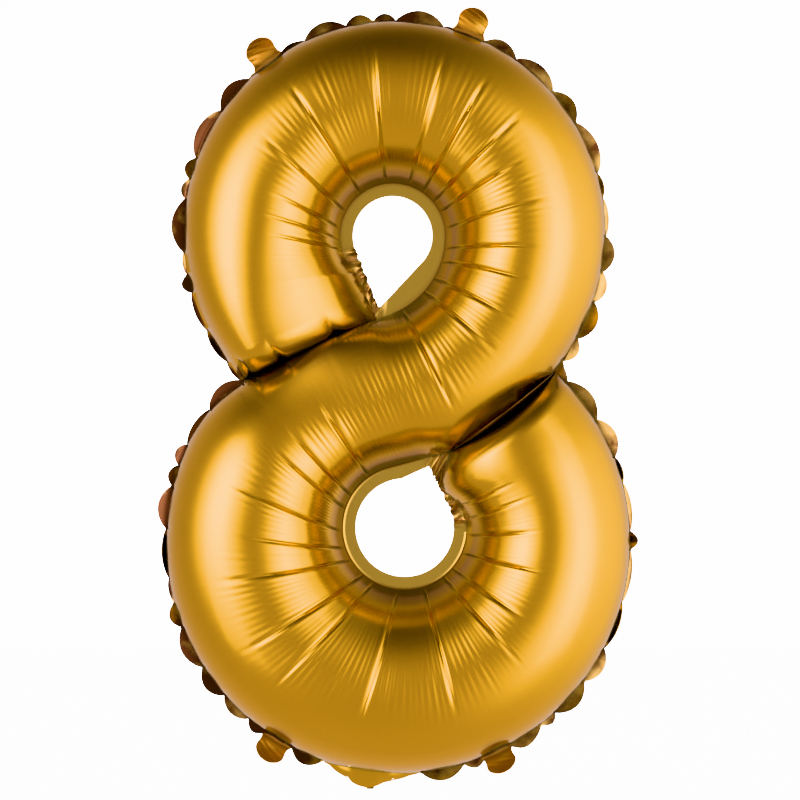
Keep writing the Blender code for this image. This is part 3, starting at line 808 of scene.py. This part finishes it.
def ring_margin(weld, centre, cut_edge, crumple_from, crumple_to, seed):
    """Rows of points from the weld round an opening to its cut edge, crumpled over part of the way round, and
    how much shade is painted on them: painted darker, unevenly, over the crumpled stretch."""
    plane = weld[:, (0, 2)]
    around = bearing(centre, plane)
    edge = cut_edge_at(around, centre, *cut_edge)
    run = lengths_along(plane)[:, None]
    middle = (crumple_from + crumple_to) / 2
    half = (crumple_to - crumple_from) / 2
    aside = turn_between(around, middle)
    crumple = (1.0 - smooth_step(aside, half - 8.0, half + 6.0))[:, None]
    coarse = CRUMPLE_SWING * wander(run, CRUMPLE_PITCH, seed)
    fine = FINE_SWING * wander(run + 0.003 * TO_CUT_EDGE, FINE_PITCH, seed + 1.0)
    y = weld[:, 1:2] + crumple * TO_CUT_EDGE * (coarse + fine)
    drawn = DRAW * crumple * TO_CUT_EDGE * wander(run, DRAW_PITCH, seed + 2.0)
    flat = plane[:, None] + (edge - plane)[:, None] * TO_CUT_EDGE[:, None]
    flat = flat + unit(centre - plane)[:, None] * drawn[..., None]
    # Painted shade: the crumpled stretch is painted darker, unevenly, where it lies in shade.
    painted_shade = np.clip(crumple * (0.85 + 0.5 * wander(run, 0.009, seed + 3.0)), 0.0, 1.0)
    return np.stack([flat[..., 0], y, flat[..., 1]], axis=-1), np.broadcast_to(painted_shade, y.shape)


def web(rail_points, end_weld):
    """The flat strip between a closed end of the tube and the stretch that passes it."""
    plane = rail_points[:, (0, 2)]
    opposite = respaced(end_weld, 400)
    nearest_end = opposite[np.argmin(length(plane[:, None] - opposite[None]), axis=1)]
    far = rail_points.copy()
    far[:, (0, 2)] = nearest_end
    return strip_between(rail_points, far)


def strip_between(first, second):
    return np.stack([first, (first + second) / 2, second], axis=1)


def unshaded(grid, part):
    """A patch with no painted shade."""
    return grid, part, np.zeros(grid.shape[:2])


def sheet_grids(front, side):
    """Every patch of one sheet: (grid of points, its part, how much shade is painted on it). Side is -1 in
    front and 1 behind.
    """
    body = front * (1.0, -side, 1.0)
    patches = [(body, TUBE, painted_shade_on_tube(front[..., (0, 2)]))]
    for window, far_side, out, pattern in OUTER_MARGINS:
        weld = body[window, -1 if far_side else 0]
        margin = ruffled_margin(weld, out, pattern, weld[:, (0, 2)])
        at_neck = neck_taper(weld[1:, 0]) * (weld[1:, 2] < LOWEST) > 0.05
        lobe = np.cumsum(np.diff(pattern[0]) < 0.0)
        part = np.where(np.isin(lobe, lobe[at_neck]), TUBE, RUFFLE)
        patches.append(unshaded(margin, part))
    for weld, (centre, radius), turns, tip, crumpled, seed in (
        (body[: UPPER_RING_END + 1, 0], UPPER_HOLE, UPPER_CUT_EDGE, UPPER_TIP, UPPER_CRUMPLED, 3.0),
        (body[LOWER_RING_START:, -1], LOWER_HOLE, LOWER_CUT_EDGE, LOWER_TIP, LOWER_CRUMPLED, 4.0),
    ):
        cut_edge = (radius - HOLE_MARGIN, *turns, tip)
        ring, painted_shade = ring_margin(weld, centre, cut_edge, *crumpled, seed)
        patches.append((ring, RING, painted_shade))
        patches.append(unshaded(strip_between(ring[-1], ring[0]), RING))
    # The webs take the near-black web film, painted shadow in the deep groove over them.
    upper_web = web(body[UPPER_RING_END : UPPER_WEB_END + DETAIL, 0], body[0][:, (0, 2)])
    lower_web = web(body[LOWER_WEB_START - DETAIL : LOWER_RING_START + 1, -1], body[-1][:, (0, 2)])
    return patches + [unshaded(upper_web, WEB), unshaded(lower_web, WEB)]


# --- meshes ---


def grid_faces(rows, columns, first):
    index = first + np.arange(rows * columns).reshape(rows, columns)
    corners = (index[:-1, :-1], index[1:, :-1], index[1:, 1:], index[:-1, 1:])
    return np.stack([corner.ravel() for corner in corners], axis=1)


def mesh_from_grids(name, patches, materials):
    """One mesh from grids of points, with a UV map in metres: along the stroke, and across it."""
    points = np.concatenate([grid.reshape(-1, 3) for grid, _, _ in patches])
    painted_shades = np.concatenate([painted_shade.ravel() for _, _, painted_shade in patches])
    faces, marks, uvs = [], [], []
    first = 0
    for grid, part, _ in patches:
        rows, columns = grid.shape[:2]
        faces.append(grid_faces(rows, columns, first))
        marks.append(np.repeat(np.broadcast_to(part, rows - 1), columns - 1))
        first += rows * columns
        along = np.repeat(lengths_along(grid[:, columns // 2])[:, None], columns, axis=1)
        gaps = length(np.diff(grid, axis=1))
        across = np.concatenate([np.zeros((rows, 1)), np.cumsum(gaps, axis=1)], axis=1)
        uvs.append(np.stack([along, across], axis=2).reshape(-1, 2))
    faces = np.concatenate(faces)
    mesh = bpy.data.meshes.new(name)
    mesh.from_pydata(points.tolist(), [], faces.tolist())
    layer = mesh.uv_layers.new(name="film")
    layer.data.foreach_set("uv", np.concatenate(uvs)[faces.ravel()].ravel().astype(np.float32))
    # Each point carries how much shade is painted on it.
    mesh.attributes.new("painted_shade", "FLOAT", "POINT").data.foreach_set("value", painted_shades.astype(np.float32))
    for material in materials:
        mesh.materials.append(material)
    mesh.polygons.foreach_set("material_index", np.concatenate(marks).astype(np.int32))
    mesh.update()
    obj = bpy.data.objects.new(name, mesh)
    bpy.context.scene.collection.objects.link(obj)
    return obj


def finish_film(obj, thickness, offset):
    """Welds the patches, gives the film its thickness and shades it smooth, all in the mesh itself."""
    weld = obj.modifiers.new("weld", "WELD")
    weld.merge_threshold = 0.000004
    solid = obj.modifiers.new("film", "SOLIDIFY")
    solid.thickness = thickness
    solid.offset = offset
    obj.data.shade_smooth()
    graph = bpy.context.evaluated_depsgraph_get()
    mesh = bpy.data.meshes.new_from_object(obj.evaluated_get(graph))
    obj.modifiers.clear()
    obj.data = mesh


def foil_panel(name, side, patches, materials):
    """One sheet of the balloon, held HALF_SEAM off the middle, with its cut edges crisp."""
    apart = np.array((0.0, side * HALF_SEAM, 0.0))
    patches = [(grid + apart, part, painted_shade) for grid, part, painted_shade in patches]
    obj = mesh_from_grids(name + "_film", patches, materials)
    if side > 0:
        obj.data.flip_normals()
    finish_film(obj, FILM, 1.0)
    obj.data.set_sharp_from_angle(angle=math.radians(CRISP_EDGE))
    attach(obj, "balloon")
    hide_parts(name)


# --- tabs, neck and valve ---


def film_places(rows, columns):
    """Places on a strip of film: 0 to 1 from its root to its tip, and -1 to 1 across it."""
    return np.linspace(0.0, 1.0, rows + 1)[:, None], np.linspace(-1.0, 1.0, columns + 1)[None, :]


def tab_grid():
    """A tab that stands along +z from its root: waisted sides, a round end, a curl and slanting folds."""
    v, u = film_places(34, 28)
    rise = v * TAB_LENGTH
    straight = TAB_LENGTH - TAB_HALF_WIDTH
    beyond = np.clip((rise - straight) / TAB_HALF_WIDTH, 0.0, 1.0)
    foot = TAB_FOOT * (1.0 - smooth_step(v, 0.0, 0.18))
    waist = 1.0 - TAB_WAIST * np.exp(-(((v - 0.28) / 0.24) ** 2)) + foot
    half = TAB_HALF_WIDTH * np.sqrt(np.maximum(1.0 - beyond**2, 0.004)) * waist
    x = u * half
    z = np.broadcast_to(rise, x.shape) - TAB_ROOT_REACH * (1.0 - v) ** 3
    curl = -TAB_CURL * (x / TAB_HALF_WIDTH) ** 2 + TAB_ARCH * np.sin(math.pi * v)
    folds = 0.00005 * np.sin(2 * math.pi * (z + 0.45 * x) / 0.0031) * smooth_step(v, 0.05, 0.3)
    folds = folds + 0.00003 * np.sin(2 * math.pi * (z + 0.3 * x) / 0.0019 + 1.0)
    y = curl * smooth_step(v, 0.0, 0.4) + folds
    return np.stack([x, y, z], axis=-1)


def bent_film(name, points, painted_shade, thickness, materials):
    """Film that starts on the balloon and runs on over the bend, built as one mesh in place."""
    obj = mesh_from_grids(name + "_film", [(points, TUBE, painted_shade)], materials)
    finish_film(obj, thickness, 0.0)
    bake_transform(obj)
    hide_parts(name)


def hanging_tab(name, materials):
    """One tab, flat in the margin up to its bend line and leaning out of the plane beyond it."""
    joint, root = joint_of(name)
    axis = Vector(joint["axis"])
    low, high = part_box(name)
    away = (low + high) / 2 - root
    away = (away - away.dot(axis) * axis).normalized()
    facing = away.cross(axis)
    flat = Vector((away.x, 0.0, away.z)).normalized()
    grid = tab_grid()
    shape = grid.shape
    sideways, forwards, along = grid[..., 0:1], grid[..., 1:2], grid[..., 2:3]
    points = np.array(root) + sideways * np.array(axis) + forwards * np.array(facing)
    points = points + np.maximum(along, 0.0) * np.array(away) + np.minimum(along, 0.0) * np.array(flat)
    # Painted shade: darker at the tab's root, fading along the tab.
    painted_shade = np.exp(-((np.linspace(0.0, 1.0, shape[0]) / 0.16) ** 2))[:, None] * np.ones(shape[:2])
    bent_film(name, points, painted_shade, TAB_FILM, materials)


def neck_ply(name, side, materials):
    """One ply of the folded-back neck: waved film that widens like a funnel and curls up behind the tube."""
    low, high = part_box(name)
    _, fold = joint_of("inflation_neck")
    v, u = film_places(40, 26)
    half_width = (high.x - low.x) / 2
    reach = high.y - fold.y
    flare = NECK_ROOT_SHARE + NECK_FLARE * smooth_step(v, 0.0, 0.9)
    x = fold.x + u * half_width * flare
    gap = 0.00035 + 0.0011 * np.sin(math.pi * v) * (1.0 - u**2)
    wave = 0.0004 * np.sin(2 * math.pi * v * 2.3 + 1.5 * u) + 0.0003 * np.sin(7.0 * u + 4.0 * v)
    y = np.broadcast_to(fold.y + v * reach, x.shape)
    curl = NECK_CURL * v * (0.7 + 0.3 * v)
    z = fold.z + side * gap + curl + wave * smooth_step(v, 0.02, 0.3)
    points = np.stack([x, y, z], axis=-1)
    bent_film(name, points, np.zeros(x.shape), FILM, materials)


# --- materials ---


def new_material(name):
    material = bpy.data.materials.new(name)
    material.use_nodes = True
    return material, material.node_tree.nodes["Principled BSDF"]


def feed(tree, socket, value):
    """Sets an input to a value, or links it to the output that feeds it."""
    if isinstance(value, bpy.types.NodeSocket):
        tree.links.new(value, socket)
    else:
        socket.default_value = value


def fill(tree, node, **inputs):
    for name, value in inputs.items():
        feed(tree, node.inputs[name.replace("_", " ")], value)
    return node


def add(tree, kind, **inputs):
    """A new shader node with some of its inputs filled."""
    return fill(tree, tree.nodes.new("ShaderNode" + kind), **inputs)


def blended(tree, factor, low, high):
    """The colour from low, at factor 0, to high, at factor 1."""
    node = tree.nodes.new("ShaderNodeMix")
    node.data_type = "RGBA"
    return fill(tree, node, Factor=factor, A=low, B=high).outputs["Result"]


def ranged(tree, factor, low, high):
    """The number from low, at factor 0, to high, at factor 1."""
    return add(tree, "MapRange", Value=factor, To_Min=low, To_Max=high).outputs["Result"]


def foil_material(name, light, dark, roughness, bump, patchy_shade=0.0):
    """Satin metallised film, with faint stretch marks along the gathers. On film with patches, the painted
    shade turns from the dark colour on the left to the light one on the right, in patches. All film mixes in
    a painted dark shade, and past 1 a painted near-black shadow, by the amount of painted shade on its
    points."""
    material, shader = new_material(name)
    tree = material.node_tree
    coordinates = tree.nodes.new("ShaderNodeUVMap")
    coordinates.uv_map = "film"
    stretch = add(tree, "Mapping", Vector=coordinates.outputs["UV"], Scale=STRETCH_MARKS)
    marks = add(tree, "TexNoise", Vector=stretch.outputs["Vector"], Scale=1.0, Detail=3.0).outputs["Fac"]
    place = add(tree, "TexCoord").outputs["Object"]
    cloud_scale = PATCH_SCALE if patchy_shade else CLOUD_SCALE
    factor = add(tree, "TexNoise", Vector=place, Scale=cloud_scale, Detail=4.0).outputs["Fac"]
    sums = Sums(tree)
    if patchy_shade:
        # Painted shade: dark patches, and darker towards the left.
        split = add(tree, "SeparateXYZ", Vector=place)
        spread = sums("MULTIPLY", sums("SUBTRACT", factor, 0.5), PATCH_CONTRAST)
        slope = sums("MULTIPLY", split.outputs["X"], patchy_shade)
        factor = sums("ADD", sums("ADD", spread, slope), PATCH_LIGHTNESS)
        factor = sums("MINIMUM", sums("MAXIMUM", factor, 0.0), 1.0)
    # Painted shade from the amount on each point: a dark shade up to 1, and a near-black shadow past 1.
    painted_shade = tree.nodes.new("ShaderNodeAttribute")
    painted_shade.attribute_name = "painted_shade"
    amount = painted_shade.outputs["Fac"]
    shaded_colour = blended(tree, amount, blended(tree, factor, dark, light), SHADE_BROWN)
    relief = add(tree, "Bump", Strength=bump, Distance=0.0002, Height=marks)
    colour = blended(tree, sums("SUBTRACT", amount, 1.0), shaded_colour, GROOVE_SHADOW)
    rough = ranged(tree, marks, roughness - 0.05, roughness + 0.06)
    fill(tree, shader, Base_Color=colour, Metallic=1.0, Roughness=rough)
    fill(tree, shader, Coat_Weight=0.30, Coat_Roughness=0.24, Normal=relief.outputs["Normal"])
    return material


def valve_material():
    """Clear polyethylene film, slightly cloudy."""
    material, shader = new_material("valve_film")
    tree = material.node_tree
    cloud = add(tree, "TexNoise", Scale=300.0).outputs["Fac"]
    fill(tree, shader, Base_Color=(0.86, 0.86, 0.84, 1.0), Roughness=ranged(tree, cloud, 0.25, 0.45))
    fill(tree, shader, Alpha=0.45, IOR=1.5)
    return material


# --- stage ---


def softbox(name, azimuth, target):
    """A faint upright area light, level with its target."""
    light = bpy.data.lights.new(name, "AREA")
    light.shape = "RECTANGLE"
    light.size = 0.55
    light.size_y = 1.5
    light.energy = 1.5
    obj = bpy.data.objects.new(name, light)
    angle = math.radians(azimuth)
    away = Vector((math.sin(angle), -math.cos(angle), 0.0))
    obj.location = target + 1.1 * away
    obj.rotation_euler = away.to_track_quat("Z", "Y").to_euler()
    obj.visible_camera = False
    bpy.context.scene.collection.objects.link(obj)


def floor():
    """A plain pale floor well below the hanging balloon."""
    size = 6.0
    mesh = bpy.data.meshes.new("floor")
    corners = [(-size, -size), (size, -size), (size, size), (-size, size)]
    mesh.from_pydata([(x, y, -0.55) for x, y in corners], [], [(0, 1, 2, 3)])
    obj = bpy.data.objects.new("floor", mesh)
    bpy.context.scene.collection.objects.link(obj)
    material, shader = new_material("floor_paper")
    tree = material.node_tree
    grain = add(tree, "TexNoise", Scale=3.0).outputs["Fac"]
    fill(tree, shader, Base_Color=ranged(tree, grain, 0.84, 0.88), Roughness=0.9)
    mesh.materials.append(material)
    obj.visible_glossy = False


class Sums:
    """Chains of Math nodes written as calls."""

    def __init__(self, tree):
        self.tree = tree

    def __call__(self, operation, *values):
        node = self.tree.nodes.new("ShaderNodeMath")
        node.operation = operation
        for socket, value in zip(node.inputs, values):
            feed(self.tree, socket, value)
        return node.outputs["Value"]


def glow(sums, azimuth, height, centre, widths, level, tall, strength):
    """A soft patch of light round one azimuth, with its own falloff to the left and to the right."""
    away = sums("SUBTRACT", azimuth, centre)
    is_right = sums("GREATER_THAN", away, 0.0)
    width = sums("ADD", sums("MULTIPLY", is_right, widths[1] - widths[0]), widths[0])
    across = sums("POWER", sums("ABSOLUTE", sums("DIVIDE", away, width)), 2.0)
    upward = sums("POWER", sums("ABSOLUTE", sums("DIVIDE", sums("SUBTRACT", height, level), tall)), 2.0)
    fall = sums("EXPONENT", sums("MULTIPLY", sums("ADD", across, upward), -1.0))
    return sums("MULTIPLY", fall, strength)


def sky(tree, colour, strength):
    return add(tree, "Background", Color=colour, Strength=strength).outputs["Background"]


def either(tree, factor, first, second):
    """The first shader where the factor is 0, the second where it is 1."""
    node = add(tree, "MixShader", Fac=factor)
    tree.links.new(first, node.inputs[1])
    tree.links.new(second, node.inputs[2])
    return node.outputs["Shader"]


def world():
    """White for the camera. In reflections, a studio with a tall soft panel on each side, dark overhead,
    dim in front where the camera stands, and paler behind and below."""
    made = bpy.data.worlds.new("studio")
    bpy.context.scene.world = made
    made.use_nodes = True
    made.cycles.sampling_method = "NONE"
    tree = made.node_tree
    sums = Sums(tree)
    output = next(node for node in tree.nodes if node.type == "OUTPUT_WORLD")
    direction = add(tree, "TexCoord").outputs["Generated"]
    x, y, z = add(tree, "SeparateXYZ", Vector=direction).outputs
    azimuth = sums("MULTIPLY", sums("ARCTAN2", x, sums("MULTIPLY", y, -1.0)), 180.0 / math.pi)
    height = sums("MULTIPLY", sums("ARCSINE", z), 180.0 / math.pi)
    left, right, wide = [glow(sums, azimuth, height, *patch) for patch in GLOWS]
    panels = sums("ADD", sums("ADD", left, right), wide)
    rise = sums("POWER", sums("MAXIMUM", z, 0.0), OVERHEAD_POWER)
    above = sums("EXPONENT", sums("MULTIPLY", rise, -OVERHEAD_FALL))
    below = sums("MULTIPLY", sums("MAXIMUM", sums("MULTIPLY", z, -1.0), 0.0), WALLS_BELOW)
    behind = sums("MULTIPLY", sums("MAXIMUM", y, 0.0), WALLS_BEHIND)
    room = sums("MULTIPLY", sums("ADD", sums("ADD", behind, WALLS), below), above)

    rays = tree.nodes.new("ShaderNodeLightPath")
    direct = tree.nodes.new("ShaderNodeAddShader")
    tree.links.new(sky(tree, GLOW_TINT, panels), direct.inputs[0])
    tree.links.new(sky(tree, WALL_TINT, room), direct.inputs[1])
    again = sky(tree, SECOND_TINT, sums("ADD", sums("MULTIPLY", panels, SECOND_GLOW), room))
    deep = sky(tree, LATER_TINT, room)
    later = either(tree, sums("GREATER_THAN", rays.outputs["Ray Depth"], 3.5), again, deep)
    second = sums("GREATER_THAN", rays.outputs["Ray Depth"], 2.5)
    reflected = either(tree, second, direct.outputs["Shader"], later)
    seen = either(tree, rays.outputs["Is Glossy Ray"], sky(tree, BACKDROP_TINT, BACKDROP), reflected)
    tree.links.new(seen, output.inputs["Surface"])


def camera():
    data = bpy.data.cameras.new("camera")
    data.lens = 110.0
    data.sensor_width = 36.0
    obj = bpy.data.objects.new("camera", data)
    bpy.context.scene.collection.objects.link(obj)
    low, high = CAD_BOX
    view_height = 0.3570
    aside, level = 0.0008, 0.1737
    distance = view_height * data.lens / data.sensor_width
    obj.location = (low.x + (high.x - low.x) / 2 + aside, -distance, level)
    obj.rotation_euler = (math.radians(90.0), 0.0, 0.0)
    bpy.context.scene.camera = obj


def stage():
    bpy.context.scene.view_settings.view_transform = "Khronos PBR Neutral"
    centre = Vector((0.0, 0.0, 0.175))
    softbox("softbox_left", -50.0, centre)
    softbox("softbox_right", 52.0, centre)
    world()
    floor()
    camera()


# --- the balloon ---


def write_sizes():
    bpy.context.view_layer.update()


def build():
    gold, weld, ruffle, tab, web_shadow_film = [foil_material(name, *look) for name, look in FOIL_LOOKS.items()]
    front = tube()
    for name, side in (("front_foil_panel", -1), ("back_foil_panel", 1)):
        foil_panel(name, side, sheet_grids(front, side), [gold, weld, ruffle, web_shadow_film])
    for name in TABS:
        hanging_tab(name, [tab])
    neck_ply("inflation_neck_front_ply", -1, [gold])
    neck_ply("inflation_neck_back_ply", 1, [gold])
    clear = valve_material()
    for name in ("valve_film_front", "valve_film_back"):
        for slot in frame["nodes"][name].material_slots:
            slot.material = clear
    stage()
    write_sizes()


build()
